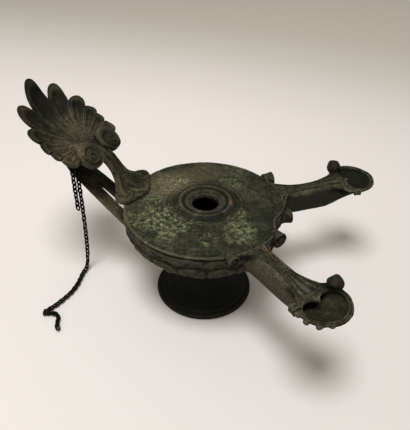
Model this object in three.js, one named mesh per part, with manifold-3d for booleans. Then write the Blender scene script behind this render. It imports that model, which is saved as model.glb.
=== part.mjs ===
// A two-nozzled bronze oil lamp with a palmette handle and the remains of its chain.
// Millimetres, +Z up. The origin is the middle of the foot's underside. The nozzles point to +X,
// the handle to -X, and the lamp is the same on both sides of the XZ plane, apart from its chains.

import * as THREE from "three";
import { mergeVertices } from "three/addons/utils/BufferGeometryUtils.js";
import Module from "manifold-3d";

const wasm = await Module();
wasm.setup();

// Reservoir and foot
const DISC_RADIUS = 52.5;
const RIM_HEIGHT = 73.3;
const DISC_CROWN = 75.0;
const BELLY_RADIUS = 53.4;
const BOWL_DEPTH = 33;
const BOWL_FLOOR = 38;
const STEM_RADIUS = 13.5;
const FOOT_RADIUS = 33.7;
const WALL = 3;
const FILL_HOLE_RADIUS = 8.6;
const RING_OUTER = 22.4;
const RING_CREST = 16.3;
const RING_LIP = 12.4;
const LEAVES = 18;
const LEAF_RELIEF = 1.1;
const ROUND_SIDES = 2 * LEAVES;
const FOOT_SIDES = 36;
const VALLEY_DEPTH = 6;
const VALLEY_WIDTH = THREE.MathUtils.degToRad(13);

// Nozzles, measured along u from the lamp's axis and sideways along v
const NOZZLE_ANGLE = THREE.MathUtils.degToRad(36.2);
const NOZZLE_TOP = 75.2;
const NECK_HALF_WIDTH = 1.6;
const BELLY_HALF_WIDTH = 8.4;
const NOZZLE_DEPTH = 19.2;
const BURNER_DEPTH = 12;
const COLLAR_START = 51;
const BURNER_CENTRE = 106.4;
const BURNER_RADIUS = 16.3;
const BURNER_WALL = 2.9;
const RIB = 0.8;
const CUP_LOBE = { u: 108.2, v: 6.2, radius: 7 };
const INNER_SCROLL = { u: 48.9, v: -19.4, z: 69.7, radius: 5.1, length: 7 };
const FAR_OUTER_SCROLL = { u: 52.4, v: 19.6, z: 71, radius: 5.1, length: 7 };
const NEAR_OUTER_SCROLL = { u: 51.6, v: 17.4, z: 72.2, radius: 3.7, length: 6 };
const FRONT_SCROLL = { u: 101.3, v: 15.6, z: 77.2, radius: 4, length: 5 };
const NEAR_WORN_SCROLL = { u: 101.2, v: -14.6, z: 73.4, radius: 3.2, length: 4.6 };
const FAR_WORN_SCROLL = { u: 103.4, v: -15, z: 73.4, radius: 2.4, length: 4 };

// Handle
const GAP = 0.3;
const PALMETTE_START = { x: -75, z: 101.2, slope: THREE.MathUtils.degToRad(4) };
const PALMETTE_BEND = 49.1;
const PALMETTE_LENGTH = 64.7;
const HEART = 8.8;
const PALMETTE_CUP = 5;
const SHEET = 2.4;
const VOLUTE = { x: -74.2, y: 11.9, z: 101.4, radius: 8.4, tilt: THREE.MathUtils.degToRad(40) };
const VOLUTE_EYE = 2.2;
const SLIT_START = -79;
const SLIT_HALF_WIDTH = 1.8;
const SLIT_SPREAD = 0.085;

// Chains: the diameter over the links, and the closed loop that they hang from
const CHAIN = 2.6;
const LUG = { x: -86.3, y: -12.4, z: 101.3, radius: 2.3, wire: 0.9 };

const { mapLinear, smoothstep, lerp } = THREE.MathUtils;

// A closed geometry's shared vertices are merged, and it becomes a solid that can be joined and cut.
function solid(geometry) {
  const bare = new THREE.BufferGeometry();
  bare.setAttribute("position", geometry.getAttribute("position"));
  bare.setIndex(geometry.index);
  const merged = mergeVertices(bare, 1e-4);
  const vertProperties = merged.attributes.position.array;
  const triVerts = new Uint32Array(merged.index.array);
  return new wasm.Manifold(new wasm.Mesh({ numProp: 3, vertProperties, triVerts }));
}

function joined(solids) {
  return solids.reduce((sum, next) => sum.add(next));
}

function meshOf(name, body, colour) {
  const made = body.getMesh();
  const geometry = new THREE.BufferGeometry();
  geometry.setAttribute("position", new THREE.BufferAttribute(made.vertProperties, 3));
  geometry.setIndex(new THREE.BufferAttribute(made.triVerts, 1));
  geometry.computeVertexNormals();
  const material = new THREE.MeshStandardMaterial({ color: colour, roughness: 0.8, metalness: 0.4 });
  const mesh = new THREE.Mesh(geometry, material);
  mesh.name = name;
  return mesh;
}

// A lathe turned about the Z axis from [radius, height] pairs that run from the axis to the axis.
function turned(profile, sides) {
  const points = profile.map(([radius, height]) => new THREE.Vector2(radius, height));
  return new THREE.LatheGeometry(points, sides).rotateX(Math.PI / 2);
}

// A closed tube of rings: a cylinder whose vertices are moved to ring(t, k), where t runs along it
// and k counts the ring's points from the keel round by +v.
function loft(sides, steps, ring, middle) {
  const geometry = new THREE.CylinderGeometry(1, 1, 1, sides, steps);
  const at = geometry.attributes.position;
  for (let i = 0; i < at.count; i++) {
    const t = at.getY(i) + 0.5;
    const onAxis = Math.hypot(at.getX(i), at.getZ(i)) < 0.5;
    const turn = Math.atan2(at.getX(i), at.getZ(i)) / (2 * Math.PI);
    const k = (Math.round(turn * sides) + sides) % sides;
    const p = onAxis ? middle(t) : ring(t, k);
    at.setXYZ(i, p.x, p.y, p.z);
  }
  return geometry;
}

// Reads a list of [position, value, value, ...] rows at a step that may fall between two rows.
function rowAt(rows, t) {
  const place = t * (rows.length - 1);
  const low = Math.min(Math.floor(place + 1e-6), rows.length - 2);
  return rows[low].map((value, i) => lerp(value, rows[low + 1][i], place - low));
}

// The bowl's flank, from its widest place under the rim down to the stem.
function bowlRadius(height) {
  const share = THREE.MathUtils.clamp((RIM_HEIGHT - 4 - height) / BOWL_DEPTH, 0, 1);
  return lerp(STEM_RADIUS, BELLY_RADIUS, Math.pow(1 - Math.pow(share, 2.1), 0.72));
}

function discHeight(radius) {
  const share = THREE.MathUtils.clamp(mapLinear(radius, RING_OUTER, 50, 0, 1), 0, 1);
  return lerp(DISC_CROWN, RIM_HEIGHT, share);
}

// Between the two nozzles the rim and the shoulder under it draw in to a shallow valley.
function drawnIn(geometry) {
  const at = geometry.attributes.position;
  for (let i = 0; i < at.count; i++) {
    const radius = Math.hypot(at.getX(i), at.getY(i));
    const angle = Math.atan2(at.getY(i), at.getX(i));
    const depth = VALLEY_DEPTH * Math.exp(-((angle / VALLEY_WIDTH) ** 2)) * smoothstep(radius, 34, 50);
    const share = radius > 1 ? 1 - depth / radius : 1;
    at.setXYZ(i, at.getX(i) * share, at.getY(i) * share, at.getZ(i));
  }
  return geometry;
}

function bowlRows(count, grow) {
  const rows = [];
  for (let i = 0; i < count; i++) {
    const height = mapLinear(i, 0, count - 1, BOWL_FLOOR, RIM_HEIGHT - 3);
    rows.push([bowlRadius(height) + grow, height]);
  }
  return rows;
}

const FOOT_ROWS = [
  [0, 0],
  [9, 0],
  [10.5, 1.6],
  [25.5, 1.6],
  [27, 0],
  [FOOT_RADIUS - 0.8, 0],
  [FOOT_RADIUS, 1],
  [FOOT_RADIUS, 2.4],
  [FOOT_RADIUS - 1.6, 3.4],
  [26.5, 6],
  [20.5, 11],
  [16.4, 18],
  [STEM_RADIUS + 0.6, 26],
  [STEM_RADIUS + 1.2, 36],
];

const TOP_ROWS = [
  [DISC_RADIUS + 0.5, RIM_HEIGHT - 0.9],
  [DISC_RADIUS - 0.6, RIM_HEIGHT],
  [38, discHeight(38)],
  [RING_OUTER + 1.2, DISC_CROWN],
  [RING_OUTER, DISC_CROWN - 0.5],
  [19.6, 75.4],
  [RING_CREST + 0.9, 77],
  [RING_CREST - 0.7, 77],
  [14.2, 75.7],
  [RING_LIP, 76.4],
  [10.6, 76],
  [FILL_HOLE_RADIUS, 74.6],
];

// Tongue-shaped leaves stand out from the lower bowl: each takes two of the lathe's sides.
function leafRelief(height, side) {
  const band = smoothstep(height, BOWL_FLOOR + 1, 47) * (1 - smoothstep(height, 61, 66));
  return side % 2 === 0 ? -0.3 * LEAF_RELIEF * band : LEAF_RELIEF * band;
}

function reservoirOuter() {
  const geometry = turned([[0, 32], ...bowlRows(8, 0), ...TOP_ROWS, [0, 74.6]], ROUND_SIDES);
  const at = geometry.attributes.position;
  for (let i = 0; i < at.count; i++) {
    const radius = Math.hypot(at.getX(i), at.getY(i));
    const height = at.getZ(i);
    if (radius < 20 || height > 66) {
      continue;
    }
    const angle = Math.atan2(at.getY(i), at.getX(i));
    const side = (Math.round((angle / (2 * Math.PI)) * ROUND_SIDES) + ROUND_SIDES) % ROUND_SIDES;
    const share = 1 + leafRelief(height, side) / radius;
    at.setXYZ(i, at.getX(i) * share, at.getY(i) * share, height);
  }
  const foot = turned([...FOOT_ROWS, [0, 37]], FOOT_SIDES);
  return solid(drawnIn(geometry)).add(solid(foot));
}

function reservoirHollow() {
  const rows = [[0, BOWL_FLOOR + 4]];
  for (const height of [42.6, 46, 51, 57, 64, RIM_HEIGHT - 4.6]) {
    rows.push([bowlRadius(height) - WALL - 0.6, height]);
  }
  rows.push([DISC_RADIUS - WALL - 3, RIM_HEIGHT - WALL]);
  rows.push([RING_OUTER, DISC_CROWN - WALL - 0.4]);
  rows.push([FILL_HOLE_RADIUS, 72.4], [FILL_HOLE_RADIUS, 80], [0, 80]);
  return solid(drawnIn(turned(rows, 36)));
}

// Half-width of a nozzle's top: a collar that flares to the root scrolls, a slim neck, a fan that
// opens to the burner, and the burner's round rim.
function topHalfWidth(u) {
  const collar = 20 / (1 + Math.max(u - COLLAR_START, 0) / 1.9);
  const fan = 8.3 * Math.pow(Math.max(u - 68, 0) / 29, 2.2);
  const burner = Math.sqrt(Math.max(BURNER_RADIUS ** 2 - (u - BURNER_CENTRE) ** 2, 1));
  const width = lerp(NECK_HALF_WIDTH + collar + fan, burner, smoothstep(u, 94, 98));
  return u < COLLAR_START ? 12 : width;
}

function burnerShare(u) {
  return smoothstep(u, 95, 104);
}

function nozzleDepth(u) {
  const neck = lerp(NOZZLE_DEPTH, BURNER_DEPTH, smoothstep(u, 84, 106));
  const past = Math.max(u - BURNER_CENTRE, 0) / (BURNER_RADIUS + 0.6);
  return lerp(neck, 1.8, Math.min(past, 1));
}

function nozzleTop(u) {
  return NOZZLE_TOP - 2.4 * (1 - smoothstep(u, 50, 56));
}

// Half of a cross-section from the keel to the middle of the top, as shares of the half-width and
// of the depth: a round-bellied tube under a narrow top at the neck, and a bowl at the burner.
const NECK_SHARES = [[0, 1], [0.5, 0.94], [0.86, 0.75], [1, 0.47], [0.82, 0.2]];
const BOWL_SHARES = [[0, 1], [0.3, 0.86], [0.56, 0.62], [0.78, 0.38], [0.94, 0.2]];

function nozzlePoint(u, k) {
  const index = Math.min(k, 16 - k);
  const side = k <= 8 ? 1 : -1;
  const top = topHalfWidth(u);
  const share = burnerShare(u);
  const depth = nozzleDepth(u);
  const rib = Math.min(RIB, 0.25 * top);
  const channel = 0.7 * (1 - share);
  const crown = [[top, 1.1], [top - rib, 0], [top - 2 * rib, channel + 0.1], [0, channel]];
  let width;
  let drop;
  if (index < NECK_SHARES.length) {
    width = lerp(NECK_SHARES[index][0] * BELLY_HALF_WIDTH, BOWL_SHARES[index][0] * top, share);
    drop = lerp(NECK_SHARES[index][1], BOWL_SHARES[index][1], share) * depth;
  } else {
    [width, drop] = crown[index - NECK_SHARES.length];
  }
  return new THREE.Vector3(u, side * width, nozzleTop(u) - drop);
}

const NOZZLE_STATIONS = [
  36, 47, 50.6, 51.4, 52.6, 54.4, 57, 61, 66, 72, 79, 85, 90, 94, 97, 100, 104, 109, 114, 118, 121, 122.6,
].map((u) => [u]);

function nozzleOuter() {
  const station = (t) => rowAt(NOZZLE_STATIONS, t)[0];
  const middle = (t) => {
    const u = station(t);
    return new THREE.Vector3(u, 0, nozzleTop(u) - 0.45 * nozzleDepth(u));
  };
  return solid(loft(16, NOZZLE_STATIONS.length - 1, (t, k) => nozzlePoint(station(t), k), middle));
}

// The oil's way from the reservoir to the wick cup, as [u, half-width, top, floor] below the nozzle's top.
const HOLLOW_ROWS = [
  [40, 5, 3.6, 13.2],
  [56, 5, 3.4, 13.4],
  [72, 5, 3.4, 13.4],
  [90, 5.4, 3.2, 13.2],
  [95, 7, 2.8, 11.6],
  [100, 10, 2.2, 10.4],
  [106, 12.4, 1.9, 9.4],
  [112, 11.2, 1.9, 7.6],
  [116.5, 8, 1.9, 5.2],
  [118.8, 4.4, 1.9, 3.2],
];
const HOLLOW_NECK = [[0, 1], [0.55, 0.88], [0.95, 0.62], [0.9, 0.3], [0.42, 0.04], [0.2, 0], [0, 0]];
const HOLLOW_BOWL = [[0, 1], [0.36, 0.86], [0.64, 0.62], [0.88, 0.34], [1, 0.04], [0.5, 0], [0, 0]];

function nozzleHollow() {
  const ring = (t, k) => {
    const [u, half, top, floor] = rowAt(HOLLOW_ROWS, t);
    const index = Math.min(k, 12 - k);
    const width = lerp(HOLLOW_NECK[index][0], HOLLOW_BOWL[index][0], burnerShare(u)) * half;
    const share = lerp(HOLLOW_NECK[index][1], HOLLOW_BOWL[index][1], burnerShare(u));
    return new THREE.Vector3(u, k <= 6 ? width : -width, NOZZLE_TOP - lerp(top, floor, share));
  };
  const middle = (t) => {
    const [u, , top, floor] = rowAt(HOLLOW_ROWS, t);
    return new THREE.Vector3(u, 0, NOZZLE_TOP - lerp(top, floor, 0.5));
  };
  return solid(loft(12, HOLLOW_ROWS.length - 1, ring, middle));
}

// The wick cup's mouth: round towards the tip, with two lobes that meet in a cusp on the neck's side.
function cupMouth() {
  const radius = BURNER_RADIUS - BURNER_WALL;
  const meet = Math.acos((CUP_LOBE.u - BURNER_CENTRE) / radius);
  const cusp = Math.PI - Math.asin(CUP_LOBE.v / CUP_LOBE.radius);
  const mouth = new THREE.Shape();
  mouth.absarc(BURNER_CENTRE, 0, radius, -meet, meet, false);
  mouth.absarc(CUP_LOBE.u, CUP_LOBE.v, CUP_LOBE.radius, Math.PI / 2, 2 * Math.PI - cusp, false);
  mouth.absarc(CUP_LOBE.u, -CUP_LOBE.v, CUP_LOBE.radius, cusp, 1.5 * Math.PI, false);
  const prism = new THREE.ExtrudeGeometry(mouth, { depth: 6, bevelEnabled: false, curveSegments: 7 });
  return solid(prism.translate(0, 0, NOZZLE_TOP - 2.3));
}

// A scroll: a short drum along X with a banded face and a round boss.
function scroll({ u, v, z, radius, length }, sides) {
  const half = length / 2;
  const rows = [
    [0, -half],
    [0.9 * radius, -half],
    [radius, half - 0.8],
    [0.84 * radius, half],
    [0.62 * radius, half - 0.1],
    [0.44 * radius, half - 1],
    [0.26 * radius, half + 0.2],
    [0, half + 0.5],
  ];
  return turned(rows, sides).rotateY(Math.PI / 2).translate(u, v, z);
}

// The four scrolls of the nozzle on one side: two at its root and two in front of its cup, of which
// the one on the -Y side is worn down. The near nozzle's outer one at the root is smaller and flatter.
function scrolls(side) {
  const worn = side > 0 ? FAR_WORN_SCROLL : NEAR_WORN_SCROLL;
  const front = [FRONT_SCROLL, worn].map((size) => scroll(size, 10));
  const outer = side > 0 ? FAR_OUTER_SCROLL : NEAR_OUTER_SCROLL;
  const root = [INNER_SCROLL, outer].map((size) => scroll({ ...size, v: side * size.v }, 12));
  return [...front, ...root].map(solid);
}

function lampBody() {
  let body = reservoirOuter();
  for (const side of [1, -1]) {
    const nozzle = joined([nozzleOuter(), ...scrolls(side)]);
    body = body.add(turnedTo(nozzle, side));
  }
  body = body.subtract(reservoirHollow());
  for (const side of [1, -1]) {
    body = body.subtract(turnedTo(nozzleHollow(), side)).subtract(turnedTo(cupMouth(), side));
  }
  return body;
}

// Turns a nozzle's solid about the lamp's axis to its place on the far or the near side.
function turnedTo(body, side) {
  return body.rotate([0, 0, side * THREE.MathUtils.radToDeg(NOZZLE_ANGLE)]);
}

// The palmette is a sheet bent about a cross axis: s runs up its middle, y across it, and h off it.
function palmettePoint(s, y, h) {
  const slope = PALMETTE_START.slope + s / PALMETTE_BEND;
  const x = PALMETTE_START.x - PALMETTE_BEND * (Math.sin(slope) - Math.sin(PALMETTE_START.slope));
  const z = PALMETTE_START.z + PALMETTE_BEND * (Math.cos(PALMETTE_START.slope) - Math.cos(slope));
  const rise = Math.sin(Math.PI * THREE.MathUtils.clamp(s / PALMETTE_LENGTH, 0, 1));
  const off = h + PALMETTE_CUP * rise * (y / 30) ** 2;
  return new THREE.Vector3(x + off * Math.sin(slope), y, z + off * Math.cos(slope));
}

// Half of the palmette's lobes, from the base to the middle one: the angle where a lobe starts, the
// radius of the notch there, the radius of its tip, and how pointed the tip is.
const LOBES = [
  [-20, 25, 29.8, 0.5],
  [3, 28, 31.2, 0.5],
  [17, 31, 34.4, 0.5],
  [34, 33.6, 41, 0.7],
  [55, 34.6, 49.2, 0.7],
  [77.5, 35.2, 56.1, 0.84],
];
const LOBE_STEPS = 6;

// The edge and the place across a lobe, for a column counted from the middle lobe's middle.
function palmetteEdge(column) {
  const half = LOBE_STEPS / 2;
  const number = Math.floor((column + half) / LOBE_STEPS);
  const across = Math.abs(column - number * LOBE_STEPS) / half;
  const outward = column - number * LOBE_STEPS >= 0;
  const lobe = LOBES[LOBES.length - 1 - Math.min(number, LOBES.length - 1)];
  const inner = number === 0 ? lobe : LOBES[LOBES.length - number];
  const upper = number === 0 ? 180 - lobe[0] : inner[0];
  const centre = (lobe[0] + upper) / 2;
  const notch = outward ? lobe[1] : inner[1];
  const angle = outward ? lerp(centre, lobe[0], across) : lerp(centre, upper, across);
  const radius = lerp(notch, lobe[2], Math.pow(1 - across ** 2, lobe[3]));
  return { angle: THREE.MathUtils.degToRad(angle), radius, across };
}

function palmette() {
  const columns = (2 * LOBES.length - 1) * LOBE_STEPS;
  const rows = 4;
  const geometry = new THREE.BoxGeometry(1, 1, 1, columns, rows, 1);
  const at = geometry.attributes.position;
  for (let i = 0; i < at.count; i++) {
    const column = Math.round(at.getX(i) * columns);
    const { angle, radius, across } = palmetteEdge(Math.abs(column));
    const out = [0.06, 0.45, 0.76, 0.92, 1][Math.round((at.getY(i) + 0.5) * rows)];
    const side = column < 0 ? -1 : 1;
    const reach = out * radius;
    const hollow = (1 - across ** 2) * smoothstep(out, 0.2, 0.7) * (1 - smoothstep(out, 0.9, 1.02));
    const under = -SHEET / 2 + 0.6 * smoothstep(out, 0.8, 1);
    const h = at.getZ(i) > 0 ? SHEET / 2 + 0.5 - 1.3 * hollow : under;
    const p = palmettePoint(HEART + reach * Math.sin(angle), side * reach * Math.cos(angle), h);
    at.setXYZ(i, p.x, p.y, p.z);
  }
  return solid(geometry);
}

// A thick drum with a banded, domed face, whose eye lies towards the strut.
function volute(side) {
  const rows = [
    [0, -3.4],
    [7.2, -3],
    [VOLUTE.radius, -1.2],
    [VOLUTE.radius, 1.4],
    [7.4, 2.5],
    [6.2, 1.7],
    [4.6, 3],
    [3.4, 2.3],
    [2, 3.6],
    [0, 4.2],
  ];
  const shape = turned(rows, 16);
  const at = shape.attributes.position;
  for (let i = 0; i < at.count; i++) {
    const inward = 1 - Math.min(Math.hypot(at.getX(i), at.getY(i)) / VOLUTE.radius, 1);
    at.setX(i, at.getX(i) + (at.getZ(i) > 0 ? VOLUTE_EYE * inward : 0));
  }
  return solid(shape.rotateY(VOLUTE.tilt).translate(VOLUTE.x, side * VOLUTE.y, VOLUTE.z));
}

// A bar that lies along a path in the XZ plane, from rows of [x, z, half-width, thickness].
function bar(rows, shares) {
  const sides = 2 * (shares.length - 1);
  const frame = (t) => {
    const [x, z, half, thick] = rowAt(rows, t);
    const step = 1 / (rows.length - 1);
    const [x0, z0] = rowAt(rows, Math.max(t - step, 0));
    const [x1, z1] = rowAt(rows, Math.min(t + step, 1));
    const along = new THREE.Vector2(x1 - x0, z1 - z0).normalize();
    return { x, z, half, thick, along };
  };
  const ring = (t, k) => {
    const { x, z, half, thick, along } = frame(t);
    const index = Math.min(k, sides - k);
    const [across, up] = shares[index];
    const y = (k <= sides / 2 ? across : -across) * half;
    return new THREE.Vector3(x - along.y * up * thick, y, z + along.x * up * thick);
  };
  const middle = (t) => {
    const { x, z } = frame(t);
    return new THREE.Vector3(x, 0, z);
  };
  return solid(loft(sides, rows.length - 1, ring, middle));
}

const STRUT_ROWS = [
  [-83, 101.6, 4.5, 3],
  [-75, 99.6, 5.6, 4],
  [-69, 96, 6.2, 4],
  [-64.9, 91.4, 6.2, 4],
  [-61.9, 86.8, 6.8, 4],
  [-59.4, 82.4, 8.8, 4.2],
  [-57.4, 79, 12.6, 4.2],
  [-54, 76.6, 16.8, 4],
  [-50, 75.2, 18.6, 3.8],
  [-46, 75, 15.4, 3.2],
  [-42.6, 75.1, 9, 2.6],
  [-40.6, 75, 4, 1.8],
];
const STRUT_SHARES = [[0, -0.5], [0.8, -0.42], [1, 0], [0.86, 0.4], [0.56, 0.3], [0.3, 0.46], [0, 0.5]];

const STRAP_ROWS = [
  [-40, 42, 14, 3.4],
  [-55, 53, 13.2, 3.4],
  [-64, 59.8, 12.2, 3.2],
  [-75, 69.2, 11.2, 3.2],
  [-86, 78.4, 10, 3.2],
  [-92.5, 84.6, 9.4, 3.2],
  [-96.4, 91.4, 9, 3.2],
  [-97, 99, 8.6, 3.2],
  [-93.6, 105.6, 8, 3],
];
const STRAP_SHARES = [[0, -0.5], [0.9, -0.46], [1, 0], [0.9, 0.46], [0, 0.5]];

// The saddle's three leaf lobes, as [x, y, z, length, width, thickness].
const SADDLE_LOBES = [
  [-49.5, 0, 75.4, 9.5, 6.5, 2.6],
  [-51.5, 13.2, 75.4, 6, 6, 2.6],
  [-51.5, -13.2, 75.4, 6, 6, 2.6],
];

function saddleLobes() {
  return SADDLE_LOBES.map(([x, y, z, length, width, thick]) => {
    const ball = new THREE.SphereGeometry(1, 10, 6).rotateX(Math.PI / 2);
    return solid(ball.scale(length, width, thick).translate(x, y, z));
  });
}

// The pointed slit that forks the lower strap, widening towards the bowl.
function slit() {
  const taper = 4;
  const length = 40;
  const end = SLIT_HALF_WIDTH + SLIT_SPREAD * length;
  const wedge = new THREE.Shape();
  wedge.moveTo(SLIT_START, 0);
  wedge.lineTo(SLIT_START + taper, -SLIT_HALF_WIDTH);
  wedge.lineTo(SLIT_START + taper + length, -end);
  wedge.lineTo(SLIT_START + taper + length, end);
  wedge.lineTo(SLIT_START + taper, SLIT_HALF_WIDTH);
  return solid(new THREE.ExtrudeGeometry(wedge, { depth: 35, bevelEnabled: false }).translate(0, 0, 40));
}

// A small closed loop under the palmette that the chains hang from.
function lug() {
  const ring = new THREE.TorusGeometry(LUG.radius, LUG.wire, 5, 10).rotateX(Math.PI / 2);
  return solid(ring.translate(LUG.x, LUG.y, LUG.z));
}

function bowlGrown(grow) {
  const rows = [[0, 30], [STEM_RADIUS + grow, 30], ...bowlRows(9, grow + LEAF_RELIEF)];
  rows.push([DISC_RADIUS + 0.5 + grow, RIM_HEIGHT - 0.6], [DISC_RADIUS - 0.4, RIM_HEIGHT + grow]);
  rows.push([38, discHeight(38) + grow], [RING_OUTER, DISC_CROWN + grow], [0, DISC_CROWN + grow]);
  return solid(turned(rows, ROUND_SIDES));
}

function handle() {
  const strap = bar(STRAP_ROWS, STRAP_SHARES).subtract(slit());
  const strut = bar(STRUT_ROWS, STRUT_SHARES);
  const parts = joined([strut, strap, palmette(), volute(1), volute(-1), ...saddleLobes(), lug()]);
  return parts.subtract(bowlGrown(GAP));
}

// A chain's plain envelope: a tube of eight sides along its route.
function chain(route) {
  const points = route.map(([x, y, z]) => new THREE.Vector3(x, y, z));
  const path = new THREE.CatmullRomCurve3(points, false, "centripetal");
  const steps = Math.round(path.getLength() / (2.4 * CHAIN));
  const section = new THREE.Shape();
  section.absarc(0, 0, CHAIN / 2, 0, 2 * Math.PI, false);
  const settings = { steps, extrudePath: path, curveSegments: 4, bevelEnabled: false };
  return solid(new THREE.ExtrudeGeometry(section, settings));
}

const LONG_ROUTE = [
  [-86.1, -12.2, 97.6],
  [-85.4, -12.2, 82],
  [-85.4, -12.2, 60],
  [-85.8, -12.2, 40],
  [-86.5, -12.3, 22],
  [-87.4, -13, 9.4],
  [-88.1, -15, 3.2],
  [-88.5, -19.4, 1.5],
  [-87.4, -25.8, 1.5],
  [-86.4, -32.4, 1.5],
  [-86.5, -39.8, 1.5],
  [-87.9, -47, 1.5],
  [-89.9, -54, 1.5],
  [-92.4, -60, 1.5],
  [-93.9, -63.4, 1.5],
  [-91.2, -63.4, 1.5],
  [-87, -62.2, 1.5],
  [-83.6, -63.2, 1.5],
  [-81.4, -67.2, 1.5],
  [-79.6, -71, 1.5],
  [-76.8, -73.8, 1.5],
];

const SHORT_ROUTE = [
  [-86.8, -15.6, 99],
  [-86.8, -15.6, 85],
  [-86.8, -15.6, 70],
  [-86.8, -15.6, 57.2],
];

const BRONZE = 0x4a4a39;
const DARK_BRONZE = 0x3c382c;
const lamp = new THREE.Group();
lamp.add(
  meshOf("lamp_body", lampBody(), BRONZE),
  meshOf("handle", handle(), BRONZE),
  meshOf("chain_long", chain(LONG_ROUTE), DARK_BRONZE),
  meshOf("chain_short", chain(SHORT_ROUTE), DARK_BRONZE),
);

export default lamp;
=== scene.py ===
"""A bronze lamp with two nozzles, a palmette handle and two broken chains, with its patina and stage."""

import math

import bpy
import numpy as np
from mathutils import Matrix, Vector


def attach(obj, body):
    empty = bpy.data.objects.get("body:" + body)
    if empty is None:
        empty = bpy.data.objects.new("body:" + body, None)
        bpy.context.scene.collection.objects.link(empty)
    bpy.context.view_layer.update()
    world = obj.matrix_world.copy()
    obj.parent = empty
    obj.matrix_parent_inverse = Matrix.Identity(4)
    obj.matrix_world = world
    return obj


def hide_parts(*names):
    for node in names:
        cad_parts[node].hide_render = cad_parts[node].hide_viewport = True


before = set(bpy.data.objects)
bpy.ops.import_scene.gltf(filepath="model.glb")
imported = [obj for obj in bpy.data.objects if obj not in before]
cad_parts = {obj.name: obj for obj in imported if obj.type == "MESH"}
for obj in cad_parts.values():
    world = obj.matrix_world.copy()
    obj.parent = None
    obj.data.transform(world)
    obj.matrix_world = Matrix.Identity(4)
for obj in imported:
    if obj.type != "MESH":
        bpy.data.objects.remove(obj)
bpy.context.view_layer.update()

bl_info = {
    "name": "Two-nozzled bronze lamp",
    "version": (1, 0, 0),
    "blender": (4, 5, 0),
    "location": "View3D > Sidebar > Lamp",
    "description": "Makes a footed bronze lamp with its handle, chains, patina and stage",
    "category": "Add Mesh",
}

MM = 0.001

# Shapes are worked out in millimetres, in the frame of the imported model.
RIM_HEIGHT = 73.3
DISC_CROWN = 75.0
BELLY_RADIUS = 53.4
BOWL_DEPTH = 33.0
BOWL_FLOOR = 38.0
STEM_RADIUS = 13.5
WALL = 3.6
RING_OUTER = 22.4
FILL_HOLE = 8.6
VALLEY_DEPTH = 6.0
VALLEY_WIDTH = math.radians(13)

NOZZLE_ANGLE = math.radians(36.2)
NOZZLE_TOP = 75.2
NECK_HALF_WIDTH = 1.6
BELLY_HALF_WIDTH = 8.4
NOZZLE_DEPTH = 19.2
BURNER_DEPTH = 12.0
COLLAR_START = 51.0
BURNER_CENTRE = 106.4
BURNER_RADIUS = 16.3
BURNER_WALL = 2.9
CUP_LOBE_U = 108.2
CUP_LOBE_V = 6.2
CUP_LOBE_RADIUS = 7.0

PALMETTE_X = -75.0
PALMETTE_Z = 101.2
PALMETTE_SLOPE = math.radians(4)
PALMETTE_BEND = 49.1
PALMETTE_LENGTH = 64.7
HEART = 8.8
SHEET = 2.4

# The chains' routes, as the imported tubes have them.
LONG_ROUTE = [
    (-86.1, -12.2, 97.6),
    (-85.4, -12.2, 82),
    (-85.4, -12.2, 60),
    (-85.8, -12.2, 40),
    (-86.5, -12.3, 22),
    (-87.4, -13, 9.4),
    (-88.1, -15, 3.2),
    (-88.5, -19.4, 1.5),
    (-87.4, -25.8, 1.5),
    (-86.4, -32.4, 1.5),
    (-86.5, -39.8, 1.5),
    (-87.9, -47, 1.5),
    (-89.9, -54, 1.5),
    (-92.4, -60, 1.5),
    (-93.9, -63.4, 1.5),
    (-91.2, -63.4, 1.5),
    (-87, -62.2, 1.5),
    (-83.6, -63.2, 1.5),
    (-81.4, -67.2, 1.5),
    (-79.6, -71, 1.5),
    (-76.8, -73.8, 1.5),
]
SHORT_ROUTE = [
    (-86.8, -15.6, 99),
    (-86.8, -15.6, 85),
    (-86.8, -15.6, 70),
    (-86.8, -15.6, 57.2),
]


class LampSizes(bpy.types.PropertyGroup):
    leaf_count: bpy.props.IntProperty(
        name="Leaves", description="Tongue-shaped leaves round the bowl", default=18, min=8, max=36
    )
    leaf_relief: bpy.props.FloatProperty(
        name="Leaf relief",
        description="How far the leaves stand out from the bowl",
        default=1.5 * MM,
        unit="LENGTH",
    )
    corrosion: bpy.props.FloatProperty(
        name="Corrosion",
        description="Depth of the pits and swellings that the ground has left",
        default=0.16 * MM,
        unit="LENGTH",
    )


class HandleSizes(bpy.types.PropertyGroup):
    lobe_hollow: bpy.props.FloatProperty(
        name="Lobe hollow",
        description="Depth of the hollow in each lobe of the palmette",
        default=1.2 * MM,
        unit="LENGTH",
    )
    volute_turns: bpy.props.FloatProperty(
        name="Volute turns", description="Turns of each volute's spiral", default=2.1, min=1, max=4
    )
    cupping: bpy.props.FloatProperty(
        name="Cupping",
        description="How far the palmette's sides curl up at the middle of its length",
        default=5 * MM,
        unit="LENGTH",
    )


class ChainSizes(bpy.types.PropertyGroup):
    wire: bpy.props.FloatProperty(
        name="Wire", description="Thickness of a link's wire", default=1.12 * MM, unit="LENGTH"
    )
    pitch: bpy.props.FloatProperty(
        name="Pitch", description="Distance from one link to the next", default=3.4 * MM, unit="LENGTH"
    )
    width: bpy.props.FloatProperty(
        name="Link width", description="Width over a link", default=3.7 * MM, unit="LENGTH"
    )


def colour_property(name, description, default):
    return bpy.props.FloatVectorProperty(
        name=name, description=description, subtype="COLOR", size=3, min=0, max=1, default=default
    )


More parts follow.
